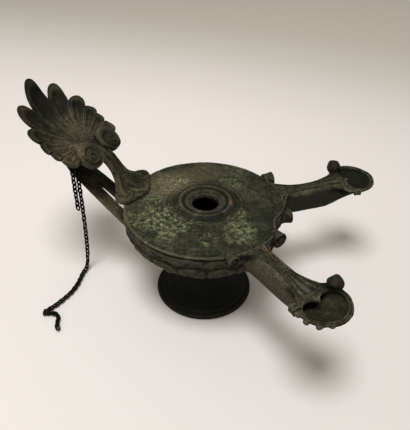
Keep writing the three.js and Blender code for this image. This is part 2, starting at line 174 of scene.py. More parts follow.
class PatinaColours(bpy.types.PropertyGroup):
    metal: colour_property("Patina", "The dark grey-green skin of the bronze", (0.03, 0.033, 0.021))
    brown: colour_property("Brown", "Brown earth and oxide on the bronze", (0.125, 0.1, 0.06))
    # The near-black colour also serves as the painted shade under the bowl, on the nozzles' flanks and on the handle's
    # strap.
    near_black_and_shade: colour_property("Hollows", "The near-black skin in hollows", (0.0085, 0.0088, 0.0066))
    green: colour_property("Verdigris", "Powdery yellow-green corrosion", (0.17, 0.185, 0.098))
    speck: colour_property("Specks", "The palest corrosion grains", (0.52, 0.52, 0.33))
    edge: colour_property("Worn edges", "Rubbed ridges and rims", (0.17, 0.152, 0.105))
    copper: colour_property("Copper", "Reddish metal where the skin is thin", (0.17, 0.095, 0.05))
    floor: colour_property("Floor", "The pale floor", (0.8, 0.755, 0.75))
    # Painted shade: the far floor's colour stands in for the key light falling off behind the lamp.
    far_floor_shade: colour_property("Far floor", "The floor where it darkens far behind", (0.555, 0.518, 0.473))


def smoothstep(value, low, high):
    share = np.clip((np.asarray(value, float) - low) / (high - low), 0, 1)
    return share * share * (3 - 2 * share)


def mix(low, high, share):
    return low + (high - low) * share


def bump(value, width):
    return np.exp(-((value / width) ** 2))


def curve_through(points, per_span):
    """Points on a smooth line that passes through the given ones."""
    given = np.asarray(points, float)
    ends = np.vstack([2 * given[0] - given[1], given, 2 * given[-1] - given[-2]])
    t = np.linspace(0, 1, per_span, endpoint=False)[:, None]
    spans = []
    for a, b, c, d in zip(ends, ends[1:], ends[2:], ends[3:]):
        bend = (2 * a - 5 * b + 4 * c - d) * t**2 + (3 * b - a - 3 * c + d) * t**3
        spans.append(0.5 * (2 * b + (c - a) * t + bend))
    return np.vstack([*spans, given[-1:]])


def refined(points, step):
    """The same line with its long spans divided, so that none is longer than the step."""
    given = np.asarray(points, float)
    out = [given[:1]]
    for a, b in zip(given, given[1:]):
        count = max(1, math.ceil(np.linalg.norm(b - a) / step))
        out.append(a + (b - a) * (np.arange(1, count + 1) / count)[:, None])
    return np.vstack(out)


def grain(points, size, seed):
    """Smooth noise from -1 to 1 at each point, with lumps of the given size."""
    table = np.random.default_rng(seed).uniform(-1, 1, (32, 32, 32))
    place = np.asarray(points, float) / size
    cell = np.floor(place).astype(int)
    part = place - cell
    part = part * part * (3 - 2 * part)
    total = np.zeros(len(place))
    for corner in np.ndindex(2, 2, 2):
        i, j, k = (cell + corner).T % 32
        weight = np.prod(np.where(corner, part, 1 - part), axis=1)
        total += weight * table[i, j, k]
    return total


def ring_skin(rings, start, end):
    """Vertices and faces of a closed skin over rings of points, shut at each end by one point."""
    rings = np.asarray(rings, float)
    count, sides, _ = rings.shape
    verts = np.vstack([[start], rings.reshape(-1, 3), [end]])
    here = 1 + np.arange(count * sides).reshape(count, sides)
    after = np.roll(here, -1, axis=1)
    quads = np.stack([here[:-1], after[:-1], after[1:], here[1:]], axis=-1).reshape(-1, 4)
    faces = quads.tolist()
    faces += [(0, int(b), int(a)) for a, b in zip(here[0], after[0])]
    last = len(verts) - 1
    faces += [(last, int(a), int(b)) for a, b in zip(here[-1], after[-1])]
    return verts, faces


def solid_object(name, verts, faces):
    """A mesh object, in metres, from vertices in millimetres, with its faces turned outwards."""
    mesh = bpy.data.meshes.new(name)
    mesh.from_pydata((np.asarray(verts) * MM).tolist(), [], faces)
    mesh.update()
    volume = 0.0
    co = np.asarray(verts)
    for face in faces:
        for second, third in zip(face[1:], face[2:]):
            volume += np.dot(co[face[0]], np.cross(co[second], co[third]))
    if volume < 0:
        mesh.flip_normals()
    piece = bpy.data.objects.new(name, mesh)
    bpy.context.scene.collection.objects.link(piece)
    return piece


def lathe_object(name, profile, sides, shape=None):
    """A turned solid from (radius, height) points that start and end on the axis."""
    profile = np.asarray(profile, float)
    angle = np.linspace(0, 2 * math.pi, sides, endpoint=False)
    radius = profile[1:-1, 0][:, None] + 0 * angle
    height = profile[1:-1, 1][:, None] + 0 * angle
    if shape is not None:
        radius, height = shape(radius, height, angle)
    rings = np.stack([radius * np.cos(angle), radius * np.sin(angle), height], axis=-1)
    return solid_object(name, *ring_skin(rings, (0, 0, profile[0, 1]), (0, 0, profile[-1, 1])))


def combine(base, tool, how):
    """Joins the tool to the base or cuts it out of it, and takes the tool away."""
    change = base.modifiers.new("Combine", "BOOLEAN")
    change.operation = how
    change.solver = "MANIFOLD"
    change.object = tool
    graph = bpy.context.evaluated_depsgraph_get()
    mesh = bpy.data.meshes.new_from_object(base.evaluated_get(graph))
    base.modifiers.remove(change)
    old = base.data
    base.data = mesh
    bpy.data.meshes.remove(old)
    bpy.data.meshes.remove(tool.data)
    return base


def turn(piece, angle):
    piece.data.transform(Matrix.Rotation(angle, 4, "Z"))
    return piece


def positions(mesh):
    co = np.zeros(len(mesh.vertices) * 3, np.float32)
    mesh.vertices.foreach_get("co", co)
    return co.reshape(-1, 3).astype(float)


def corrode(piece, depth, seed, floor=0.0, rougher=None):
    """Moves the skin along its normals by soft swellings and small pits, but not at the base."""
    mesh = piece.data
    co = positions(mesh)
    normals = np.zeros(len(mesh.vertices) * 3, np.float32)
    mesh.vertex_normals.foreach_get("vector", normals)
    points = co / MM
    swell = 0.8 * grain(points, 7.0, seed) + 0.6 * grain(points, 2.6, seed + 1)
    pits = -1.4 * np.clip(grain(points, 1.7, seed + 2) - 0.35, 0, 1)
    amount = (swell + pits) * depth * smoothstep(points[:, 2], floor, floor + 2.5)
    if rougher is not None:
        amount *= rougher(points)
    co += normals.reshape(-1, 3) * amount[:, None]
    mesh.vertices.foreach_set("co", co.astype(np.float32).ravel())
    mesh.update()


def mark_relief(piece, reach, passes):
    """Stores on each vertex how far it stands out of its surroundings: 0.5 is level ground."""
    mesh = piece.data
    co = positions(mesh)
    normals = np.zeros(len(mesh.vertices) * 3, np.float32)
    mesh.vertex_normals.foreach_get("vector", normals)
    edges = np.zeros(len(mesh.edges) * 2, np.int32)
    mesh.edges.foreach_get("vertices", edges)
    first, second = edges.reshape(-1, 2).T
    count = len(co)
    degree = np.maximum(np.bincount(edges, minlength=count), 1)
    soft = co.copy()
    for _ in range(passes):
        for axis in range(3):
            value = soft[:, axis]
            total = np.bincount(first, value[second], count) + np.bincount(second, value[first], count)
            soft[:, axis] = 0.4 * value + 0.6 * total / degree
    stands = np.einsum("ij,ij->i", co - soft, normals.reshape(-1, 3))
    layer = mesh.attributes.new("relief", "FLOAT", "POINT")
    layer.data.foreach_set("value", np.clip(0.5 + stands / (2 * reach), 0, 1).astype(np.float32))


def mark_patches(piece, name, patches, base=None):
    """Stores soft round patches, each as (x, y, z, radius, strength) in millimetres, over a base."""
    points = positions(piece.data) / MM
    wander = np.stack([grain(points, 6.0, seed) for seed in (31, 32, 33)], axis=1)
    total = np.zeros(len(points)) if base is None else base(points, 4.0 * wander[:, 0])
    for x, y, z, radius, strength in patches:
        away = np.linalg.norm(points + 3.0 * wander - (x, y, z), axis=1)
        total = np.maximum(total, strength * (1 - smoothstep(away, 0.35 * radius, radius)))
    layer = piece.data.attributes.new(name, "FLOAT", "POINT")
    layer.data.foreach_set("value", total.astype(np.float32))


def finish_piece(piece, material):
    piece.data.materials.clear()
    piece.data.materials.append(material)
    piece.data.polygons.foreach_set("use_smooth", np.ones(len(piece.data.polygons), bool))
    piece.data.set_sharp_from_angle(angle=math.radians(50))
    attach(piece, "root")


# The reservoir and the foot


def bowl_radius(height):
    share = np.clip((RIM_HEIGHT - 4 - np.asarray(height, float)) / BOWL_DEPTH, 0, 1)
    return mix(STEM_RADIUS, BELLY_RADIUS, (1 - share**2.1) ** 0.72)


def disc_height(radius):
    share = np.clip((np.asarray(radius, float) - RING_OUTER) / (50 - RING_OUTER), 0, 1)
    return mix(DISC_CROWN, RIM_HEIGHT, share)


def valley(radius, angle):
    """How far the rim draws in between the two nozzles."""
    wrapped = (angle + math.pi) % (2 * math.pi) - math.pi
    return VALLEY_DEPTH * bump(wrapped, VALLEY_WIDTH) * smoothstep(radius, 34, 50)


def outer_profile():
    underside = refined([(0, 0), (9, 0), (10.5, 1.6), (25.5, 1.6), (27, 0), (32.9, 0)], 2.5)
    base = curve_through([(32.9, 0), (33.7, 0.9), (33.7, 2.2), (32.9, 3), (31.3, 3.4)], 3)
    flare = curve_through(
        [(30.8, 3.3), (30, 4.3), (26.5, 6), (20.5, 11), (16.4, 18), (14.2, 26), (14.3, 33), (14.8, 37)], 5
    )
    heights = np.linspace(BOWL_FLOOR + 0.6, RIM_HEIGHT - 2.9, 54)
    bowl = np.stack([bowl_radius(heights), heights], axis=1)
    rim = [(52.6, 70.9), (52.1, 71.4), (52.5, 71.9), (53, 72.3), (53.1, 72.9), (52.6, 73.4), (51.8, 73.5), (50.9, 73.2)]
    disc_radii = np.linspace(49.8, 24.6, 26)
    disc = np.stack([disc_radii, disc_height(disc_radii)], axis=1)
    rings = curve_through(
        [
            (24, 75.15),
            (23.2, 75.2),
            (22.6, 74.7),
            (22, 74.95),
            (21, 75.15),
            (19.6, 75.3),
            (18.3, 75.9),
            (17.2, 77),
            (16.3, 77.35),
            (15.5, 76.9),
            (14.8, 75.9),
            (14.1, 75.7),
            (13.3, 76.3),
            (12.4, 76.7),
            (11.4, 76.5),
            (10.3, 76.1),
            (9.3, 75.5),
            (8.7, 74.6),
            (8.6, 73.4),
        ],
        3,
    )
    return np.vstack([underside, base[1:], flare, bowl, rim, disc, rings, [(0, 73.4)]])


def leaf_relief(height, angle, count):
    """Tongue leaves with a rim, a midrib and rounded tips, from 0 to 1 over the bowl."""
    across = np.abs((angle * count / (2 * math.pi)) % 1 - 0.5) * 2
    across = 1 - across
    tip = 64.5 - 2.6 * across**2
    foot = 43.5 + 2.2 * (1 - across) ** 2
    body = smoothstep(height, foot, foot + 1.6) * (1 - smoothstep(height, tip - 1.2, tip))
    swell = 0.72 + 0.28 * (1 - across**2)
    parting = smoothstep(across, 1.0, 0.86)
    rim = 0.1 * bump(across - 0.72, 0.12)
    midrib = 0.12 * bump(across, 0.1) - 0.08 * bump(across - 0.3, 0.14)
    return body * (swell * parting + rim + midrib)


def make_reservoir(sizes):
    relief = sizes.leaf_relief / MM

    def shape(radius, height, angle):
        on_bowl = smoothstep(height, 40, 42) * (radius > 18) * (height < 70)
        slope = smoothstep(height, 68, 46)
        out = relief * (leaf_relief(height, angle, sizes.leaf_count) - 0.35) * on_bowl
        out *= smoothstep(height, 67, 64.5)
        radius = radius + out * (1 - 0.55 * slope) - valley(radius, angle)
        return radius, height - 0.6 * out * slope

    return lathe_object("lamp_casting", outer_profile(), 14 * sizes.leaf_count, shape)


def reservoir_hollow():
    heights = np.linspace(42.6, 68.7, 14)
    wall = np.stack([bowl_radius(heights) - WALL, heights], axis=1)
    ceiling = [(46.5, 70.3), (RING_OUTER, 71.6), (FILL_HOLE + 0.4, 72.1), (FILL_HOLE, 72.6)]
    profile = np.vstack([[(0, 42)], wall, refined(ceiling, 8), [(FILL_HOLE, 80), (0, 80)]])

    def shape(radius, height, angle):
        return radius - valley(radius, angle), height

    return lathe_object("hollow", profile, 96, shape)


# The nozzles, measured along u from the lamp's axis and sideways along v


def top_half_width(u):
    collar = 20 / (1 + np.maximum(u - COLLAR_START, 0) / 1.9)
    fan = 8.3 * (np.maximum(u - 68, 0) / 29) ** 2.2
    burner = np.sqrt(np.maximum(BURNER_RADIUS**2 - (u - BURNER_CENTRE) ** 2, 0.3))
    width = mix(NECK_HALF_WIDTH + collar + fan, burner, smoothstep(u, 94, 98))
    return width - 9.6 * smoothstep(u, COLLAR_START, COLLAR_START - 2.5)


def nozzle_depth(u):
    neck = mix(NOZZLE_DEPTH, BURNER_DEPTH, smoothstep(u, 84, 106))
    past = np.clip((u - BURNER_CENTRE) / (BURNER_RADIUS + 0.3), 0, 1)
    return mix(neck, 1.9, past)


def nozzle_top(u):
    return NOZZLE_TOP - 2.4 * (1 - smoothstep(u, 50, 56))


NECK_SHARES = [(0, 1), (0.5, 0.94), (0.86, 0.75), (1, 0.47), (0.82, 0.2)]
BOWL_SHARES = [(0, 1), (0.3, 0.86), (0.56, 0.62), (0.78, 0.38), (0.94, 0.2)]


def crown_drop(u, v, half, slope):
    """How far the nozzle's top lies under its ribs: ribs along the edges, a fan and the cup's rim."""
    edge = (half - np.abs(v)) / np.sqrt(1 + slope**2)
    share = smoothstep(u, 96, 101)
    rib = bump(edge - 0.75, 0.5)
    second = 0.7 * bump(edge - 2.5, 0.5) * smoothstep(half, 2.9, 3.8) * (1 - smoothstep(u, 84, 90))
    third = 0.55 * bump(edge - 4.2, 0.55) * (1 - smoothstep(u, 60, 66))
    ground = 0.95 * mix(1, 0.45, share)
    middle = 0.35 * bump(v, 0.7) * smoothstep(u, 60, 66) * (1 - smoothstep(u, 82, 88))
    reach = np.hypot(u - 72, v)
    turn_by = np.arctan2(v, u - 72)
    flutes = np.cos(turn_by * 6 * math.pi / 0.62)
    inside = smoothstep(edge, 1.6, 2.4) * smoothstep(u, 80, 84) * (1 - smoothstep(reach, 24.5, 25.6))
    fan = 0.34 * flutes * inside
    arc = 0.3 * bump(reach - 26.4, 0.4) * smoothstep(edge, 1.4, 2.2)
    line = -0.3 * bump(edge - 1.9, 0.3) * share
    corner = 0.9 * bump(edge, 0.34)
    return ground - ground * rib - second - third - middle - fan - arc - line + corner


def nozzle_rings(u_values):
    rings = []
    slopes = np.gradient(top_half_width(u_values), u_values)
    for u, slope in zip(u_values, slopes):
        half = float(top_half_width(u))
        share = float(smoothstep(u, 95, 104))
        depth = float(nozzle_depth(u))
        top = float(nozzle_top(u))
        shares = mix(np.array(NECK_SHARES), np.array(BOWL_SHARES), share)
        width = mix(BELLY_HALF_WIDTH, half, share)
        belly = np.vstack([shares * (width, depth), [(half, 1.25)]])
        belly = curve_through(np.vstack([[(-belly[1, 0], belly[1, 1])], belly]), 4)[4:]
        belly[:, 0] = np.clip(belly[:, 0], 0, None)
        v = half * np.cos(np.linspace(0, math.pi / 2, 25))[1:] ** 0.8
        drop = crown_drop(u, v, half, slope)
        half_ring = np.vstack([belly, np.stack([v, drop], axis=1)])
        mirrored = half_ring[-2:0:-1] * (-1, 1)
        ring = np.vstack([half_ring, mirrored])
        rings.append(np.stack([np.full(len(ring), u), ring[:, 0], top - ring[:, 1]], axis=1))
    return rings


def nozzle_object():
    sweep = BURNER_CENTRE + BURNER_RADIUS * np.sin(np.linspace(math.radians(15), math.radians(88), 34))
    u_values = np.concatenate(
        [np.linspace(38, 47, 4), np.linspace(48, 60, 44), np.linspace(60.5, 110, 110), sweep[sweep > 110.4]]
    )
    rings = nozzle_rings(u_values)
    start = (u_values[0], 0, NOZZLE_TOP - 9)
    end = (u_values[-1] + 0.1, 0, NOZZLE_TOP - 1.5)
    return solid_object("nozzle", *ring_skin(rings, start, end))


HOLLOW_ROWS = [
    (40, 5, 3.6, 13.2),
    (56, 5, 3.4, 13.4),
    (72, 5, 3.4, 13.4),
    (90, 5.4, 3.2, 13.2),
    (95, 7, 2.8, 11.6),
    (100, 10, 2.2, 10.4),
    (106, 12.4, 1.9, 9.4),
    (112, 11.2, 1.9, 7.6),
    (116.5, 8, 1.9, 5.2),
    (118.8, 4.4, 1.9, 3.2),
]
HOLLOW_NECK = [(0, 1), (0.55, 0.88), (0.95, 0.62), (0.9, 0.3), (0.42, 0.04), (0.2, 0), (0, 0)]
HOLLOW_BOWL = [(0, 1), (0.36, 0.86), (0.64, 0.62), (0.88, 0.34), (1, 0.04), (0.5, 0), (0, 0)]


def nozzle_hollow():
    rings = []
    for u, half, top, floor in curve_through(HOLLOW_ROWS, 5):
        shares = mix(np.array(HOLLOW_NECK), np.array(HOLLOW_BOWL), float(smoothstep(u, 95, 104)))
        fine = curve_through(shares, 4)
        fine[:, 0] = np.clip(fine[:, 0], 0, 1.02)
        half_ring = np.stack([fine[:, 0] * half, NOZZLE_TOP - mix(top, floor, fine[:, 1])], axis=1)
        ring = np.vstack([half_ring, half_ring[-2:0:-1] * (-1, 1)])
        rings.append(np.insert(ring, 0, u, axis=1))
    start, end = rings[0].mean(axis=0), rings[-1].mean(axis=0)
    return solid_object("hollow", *ring_skin(rings, start, end))


def cup_mouth():
    """The mouth's outline is round at the tip and has two lobes that meet in a cusp at the neck."""
    radius = BURNER_RADIUS - BURNER_WALL
    meet = math.acos((CUP_LOBE_U - BURNER_CENTRE) / radius)
    cusp = math.pi - math.asin(CUP_LOBE_V / CUP_LOBE_RADIUS)
    round_end = np.linspace(-meet, meet, 40)
    lobe = np.linspace(math.pi / 2, 2 * math.pi - cusp, 22)[1:]
    far = [(CUP_LOBE_U + CUP_LOBE_RADIUS * math.cos(a), CUP_LOBE_V + CUP_LOBE_RADIUS * math.sin(a)) for a in lobe]
    near = [(u, -v) for u, v in far[-2::-1]]
    tip = [(BURNER_CENTRE + radius * math.cos(a), radius * math.sin(a)) for a in round_end]
    outline = np.array(tip + far + near)
    centre = np.array([BURNER_CENTRE + 2, 0])
    rings = []
    for height, grow in ((-2.6, 1.0), (-0.9, 1.0), (-0.3, 1.02), (0.1, 1.05), (3, 1.1)):
        flat = centre + (outline - centre) * grow
        rings.append(np.insert(flat, 2, NOZZLE_TOP + height, axis=1))
    start = (*centre, NOZZLE_TOP - 2.6)
    end = (*centre, NOZZLE_TOP + 3)
    return solid_object("mouth", *ring_skin(rings, start, end))


def spiral_drum(radius, length, turns, hand, sides=48):
    """A short drum along X whose front face carries a spiral that winds in to a boss."""
    angle = np.linspace(0, 2 * math.pi, sides, endpoint=False)
    half = length / 2
    rings = []
    for share in np.linspace(0.15, 1, 5):
        rings.append((np.full(sides, share * radius * 0.86), np.full(sides, -half)))
    for share in np.linspace(0, 1, 8)[1:]:
        waist = 0.86 + 0.14 * share**2
        rings.append((np.full(sides, radius * waist), np.full(sides, mix(-half, half - 0.7, share))))
    rings.append((np.full(sides, radius * 0.97), np.full(sides, half - 0.2)))
    for rho in np.linspace(0.92, 0.08, 22):
        phase = (1 - rho) * turns + hand * angle / (2 * math.pi)
        ridge = 0.5 + 0.5 * np.cos(2 * math.pi * phase)
        ridge = mix(ridge, 1.25, smoothstep(rho, 0.3, 0.16))
        rings.append((np.full(sides, radius * rho), half - 1.0 + 1.0 * ridge * np.ones(sides)))
    points = [np.stack([x, r * np.cos(angle), r * np.sin(angle)], axis=1) for r, x in rings]
    return ring_skin(points, (-half, 0, 0), (half + 0.25, 0, 0))


# Each scroll as (u, v, z, radius, length, turns); v is positive on the side away from the other nozzle.
NEAR_INNER_SCROLL = (48.9, -19.4, 69.7, 5.1, 7, 1.6)
FAR_INNER_SCROLL = (48.9, -19.4, 67.4, 4.8, 7, 1.6)
FAR_OUTER_SCROLL = (52.4, 19.6, 71, 5.1, 7, 1.6)
NEAR_OUTER_SCROLL = (51.6, 17.4, 72.2, 3.7, 6, 1.3)
NEAR_WORN_SCROLL = (101.2, -14.6, 73.4, 3.2, 4.6, 0.6)
FAR_WORN_SCROLL = (103.4, -15, 73.4, 2.4, 4, 0.3)


def scroll_objects(side):
    far = [(FAR_INNER_SCROLL, 1), (FAR_OUTER_SCROLL, 1), (FAR_WORN_SCROLL, 1)]
    near = [(NEAR_INNER_SCROLL, -1), (NEAR_OUTER_SCROLL, -1), (NEAR_WORN_SCROLL, 1)]
    out = []
    for (u, v, z, radius, length, turns), way in far if side > 0 else near:
        verts, faces = spiral_drum(radius, length, turns, way)
        out.append(solid_object("scroll", verts + (u, way * v, z), faces))
    return out


# Worn knobs where the neck meets the burner, and lumps of corrosion on the near burner's rim, as
# (u, v, z, radius, height over width).
KNOBS = [(101.2, 14.8, 76.2, 4.9, 1.0)]
RIM_LUMPS = [
    (99.2, -14.6, 73.6, 2.2, 0.75),
    (104.4, -15.2, 73.4, 2.4, 0.75),
    (110.4, -14.8, 73.2, 2.1, 0.75),
    (116.6, -11.8, 73.4, 2.3, 0.75),
    (120.2, -6.6, 73.8, 1.6, 0.75),
]


def lump_object(u, v, z, radius, squash):
    """A soft uneven knob."""
    rows = 12
    angle = np.linspace(0, 2 * math.pi, 20, endpoint=False)
    rings = []
    for polar in np.linspace(0, math.pi, rows + 2)[1:-1]:
        across = radius * math.sin(polar)
        up = squash * radius * math.cos(polar)
        rings.append(np.stack([across * np.cos(angle), across * np.sin(angle), up + 0 * angle], axis=1))
    verts, faces = ring_skin(rings, (0, 0, squash * radius), (0, 0, -squash * radius))
    uneven = 1 + 0.2 * grain(verts + (u, v, z), 0.7 * radius, 71)
    return solid_object("lump", verts * uneven[:, None] + (u, v, z), faces)


# Verdigris and earth on the disc and the bowl, as (x, y, z, radius, strength).
GREEN_PATCHES = [
    (-22, -24, 74, 18, 1.0),
    (-34, -10, 74, 12, 0.6),
    (-6, -26, 74, 11, 0.9),
    (-12, -38, 74, 9, 0.9),
    (14, -35, 74, 8, 1.0),
    (28, -20, 74, 15, 0.85),
    (22, -6, 75, 9, 0.6),
    (2, -19, 75, 7, 0.7),
    (12, 30, 74, 14, 0.45),
    (-38, -30, 70, 12, 0.7),
    (-20, -48, 68, 10, 0.5),
    (6, 46, 72, 12, 0.4),
    (-26, 18, 74, 20, 0.3),
]
BROWN_PATCHES = [
    (-30, 12, 74, 24, 1.0),
    (-14, 34, 74, 20, 0.5),
    (-46, -22, 62, 18, 0.6),
    (-5, -50, 60, 22, 0.3),
    (88, -62, 66, 13, 0.75),
    (88, 62, 66, 13, 0.45),
]
DARK_PATCHES = [
    (38, 8, 74, 20, 0.45),
    (24, 34, 74, 16, 0.4),
    (12, -30, 74, 12, 0.5),
    (26, -34, 74, 10, 0.35),
    (-42, -2, 74, 7, 0.5),
    (20, -46, 62, 16, 0.4),
    (90.4, -47.6, 77, 14, 0.9),
    (72.6, 71.6, 77, 14, 0.9),
    (50.9, -13.2, 69.7, 9, 0.85),
    (50.9, 13.2, 68, 9, 0.95),
    (30.7, 46.8, 71, 8, 0.7),
    (31.4, -44.5, 72, 7, 0.35),
]
COPPER_PATCHES = [
    (46.5, -28.6, 75, 2.6, 1.0),
    (48.6, -31.4, 75, 2.4, 0.8),
    (51.6, -34.2, 75, 2.4, 0.7),
    (56, -38, 75, 2.4, 0.4),
    (15.5, 4, 77, 4, 0.55),
    (13, -6, 76, 3, 0.3),
]


def body_painted_shade(points, wander):
    """Painted shade: the foot, stem and underside of the bowl, the bowl's flank under the rim, the groove and outer
    slope of the ring round the fill hole, and the nozzles' flanks, deeper on the far nozzle.
    """
    x, y, z = points.T
    reach = np.hypot(x, y)
    # Painted shade under the bowl, on the foot, the stem and the bowl's underside.
    below = 0.94 * (1 - smoothstep(z + wander, 42, 56))
    # Painted shade on the bowl's flank under the rim.
    flank = 0.5 * smoothstep(reach, 34, 40) * (1 - smoothstep(z + 0.4 * wander, 70, 73.5))
    # Painted shade in the groove and on the outer slope of the moulded ring round the fill hole.
    ring = 0.75 * bump(reach - 14.2, 1.3) + 0.75 * bump(reach - 19.6 + 0.3 * wander, 2.6)
    # Painted shade on the nozzles' flanks under their tops, deeper on the far nozzle, whose flank faces away from the
    # light.
    nozzles = np.where(y > 0, 0.97, 0.6) * (reach >= 56) * (1 - smoothstep(z + 0.3 * wander, 72, 74))
    return np.maximum.reduce([below, flank * (reach < 56), ring * (z > 70), nozzles])


def nozzle_brown(points, wander):
    """Brown earth on the nozzles' flanks."""
    reach = np.hypot(points[:, 0], points[:, 1])
    return 0.9 * smoothstep(reach + wander, 52, 60) * (1 - smoothstep(points[:, 2] + 0.5 * wander, 71, 74))


def flank_wear(points):
    """The bowl's flank, the scrolls and the burners' rims are rougher than the disc."""
    x, y, z = points.T
    reach = np.hypot(x, y)
    flank = smoothstep(z, 44, 48) * (1 - smoothstep(z, 71.5, 73)) * smoothstep(reach, 34, 40)
    burner = smoothstep(reach, 100, 106)
    return 1 + 3.2 * flank * (reach < 55) + 1.2 * burner


def make_casting(sizes, material):
    casting = make_reservoir(sizes)
    for side in (1, -1):
        combine(casting, turn(nozzle_object(), side * NOZZLE_ANGLE), "UNION")
        for part in [*scroll_objects(side), *(lump_object(*knob) for knob in KNOBS)]:
            combine(casting, turn(part, side * NOZZLE_ANGLE), "UNION")
    for lump in RIM_LUMPS:
        combine(casting, turn(lump_object(*lump), -NOZZLE_ANGLE), "UNION")
    combine(casting, reservoir_hollow(), "DIFFERENCE")
    for side in (1, -1):
        combine(casting, turn(nozzle_hollow(), side * NOZZLE_ANGLE), "DIFFERENCE")
        combine(casting, turn(cup_mouth(), side * NOZZLE_ANGLE), "DIFFERENCE")
    corrode(casting, sizes.corrosion, 11, 0.4, flank_wear)
    mark_relief(casting, 0.2 * MM, 14)
    mark_patches(casting, "green", GREEN_PATCHES)
    mark_patches(casting, "brown", BROWN_PATCHES, nozzle_brown)
    # The dark layer: painted shade under and round the bowl and on the nozzles' flanks, with darker patches over it.
    mark_patches(casting, "dark", DARK_PATCHES, body_painted_shade)
    mark_patches(casting, "copper", COPPER_PATCHES)
    finish_piece(casting, material)
    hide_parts("lamp_body")
    return casting


# The handle

LOBES = [
    (-20, 25, 29.8, 0.5),
    (3, 28, 31.2, 0.5),
    (17, 31, 34.4, 0.5),
    (34, 33.6, 41, 0.7),
    (55, 34.6, 49.2, 0.7),
    (77.5, 35.2, 56.1, 0.84),
]
LOBE_STEPS = 22


def palmette_points(s, y, h, cupping):
    slope = PALMETTE_SLOPE + s / PALMETTE_BEND
    rise = np.sin(math.pi * np.clip(s / PALMETTE_LENGTH, 0, 1))
    off = h + cupping * rise * (y / 30) ** 2
    x = PALMETTE_X - PALMETTE_BEND * (np.sin(slope) - math.sin(PALMETTE_SLOPE)) + off * np.sin(slope)
    z = PALMETTE_Z + PALMETTE_BEND * (math.cos(PALMETTE_SLOPE) - np.cos(slope)) + off * np.cos(slope)
    return np.stack([x, y + 0 * x, z], axis=-1)


def palmette_columns():
    """The angle, edge radius and place across its lobe of each column, from one base to the other."""
    marks = []
    for index, (start, notch, tip, point) in enumerate(LOBES):
        last = index == len(LOBES) - 1
        end = 180 - start if last else LOBES[index + 1][0]
        end_notch = notch if last else LOBES[index + 1][1]
        for step in range(LOBE_STEPS):
            across = 2 * step / LOBE_STEPS - 1
            low = notch if across < 0 else end_notch
            reach = mix(low, tip, (1 - across**2) ** point)
            marks.append((mix(start, end, (across + 1) / 2), reach, across))
    half = [mark for mark in marks if mark[0] <= 90]
    other = [(180 - angle, reach, -across) for angle, reach, across in half[::-1] if angle < 89.99]
    return np.array(half + other)


def make_palmette(sizes):
    angle, radius, across = palmette_columns().T
    angle = np.radians(angle)
    outs = np.concatenate([np.linspace(0.04, 0.9, 34), np.linspace(0.92, 0.985, 7)])
    depth = sizes.lobe_hollow / MM
    side = np.abs(across)
    top, under = [], []
    for out in outs:
        opening = smoothstep(out, 0.2, 0.6) * (1 - smoothstep(out, 0.8, 0.97))
        hollow = depth * (1 - smoothstep(side, 0.25, 1.0)) * opening
        ridge = 0.3 * bump(side - 0.86, 0.12) * smoothstep(out, 0.22, 0.5)
        parting = 0.75 * bump(side - 1, 0.06) * smoothstep(out, 0.4, 0.7)
        fold = 0.07 * bump(side, 0.1) * opening
        lip = 0.2 * bump(out - 0.9, 0.05)
        rounding = 1.3 * smoothstep(out, 0.88, 1.0) ** 2
        height = SHEET / 2 + 0.4 - hollow + ridge - parting + fold + lip - rounding
        s = HEART + out * radius * np.sin(angle)
        y = out * radius * np.cos(angle)
        top.append(palmette_points(s, y, height, sizes.cupping / MM))
        below = -SHEET / 2 - 0.35 * hollow + 0.5 * smoothstep(out, 0.93, 1.0) ** 2
        under.append(palmette_points(s, y, below, sizes.cupping / MM))
    s = HEART + radius * np.sin(angle)
    y = radius * np.cos(angle)
    edge = [palmette_points(s, y, level, sizes.cupping / MM) for level in (0.45, 0.0, -0.45)]
    rings = [*top, *edge, *under[::-1]]
    start = palmette_points(np.array([HEART]), np.array([0.0]), SHEET / 2 + 0.4, 0)[0]
    end = palmette_points(np.array([HEART]), np.array([0.0]), -SHEET / 2, 0)[0]
    return solid_object("palmette", *ring_skin(rings, start, end))


VOLUTE = (-74.2, 11.9, 101.4, 9.2, math.radians(40))
FAR_EYE = (3.9, 0.3)
NEAR_EYE = (3.0, -2.8)


def volute_object(side, turns):
    """A thick drum whose domed face carries a spiral ridge that winds in to a boss near the strut."""
    x, y, z, radius, tilt = VOLUTE
    sides = 96
    angle = np.linspace(0, 2 * math.pi, sides, endpoint=False)
    rings = []
    for share, height in ((0.3, -3.4), (0.6, -3.3), (0.86, -2.9), (0.97, -1.8), (1, -0.6), (1, 0.6), (0.99, 1.4)):
        rings.append((share, np.full(sides, height)))
    for rho in np.linspace(0.96, 0.04, 48):
        phase = (1 - rho) * turns + side * angle / (2 * math.pi)
        wave = 0.5 + 0.5 * np.cos(2 * math.pi * phase)
        ridge = 1.5 * wave**0.7 * smoothstep(rho, 1.0, 0.93)
        boss = 1.5 * math.sqrt(max(1 - (rho / 0.22) ** 2, 0))
        height = 1.5 + 1.7 * (1 - rho) ** 0.8 + mix(ridge, boss, float(smoothstep(rho, 0.28, 0.2)))
        rings.append((rho, height))
    points = []
    eye = FAR_EYE if side > 0 else NEAR_EYE
    for rho, height in rings:
        inward = (1 - rho) * (height > 0)
        x_ring = rho * radius * np.cos(angle) + eye[0] * inward
        y_ring = rho * radius * np.sin(angle) + eye[1] * inward
        points.append(np.stack([x_ring, y_ring, height], axis=1))
    verts, faces = ring_skin(points, (0, 0, -3.4), (*eye, 4.7))
    turned = verts @ np.array(Matrix.Rotation(tilt, 3, "Y")).T
    return solid_object("volute", turned + (x, side * y, z), faces)


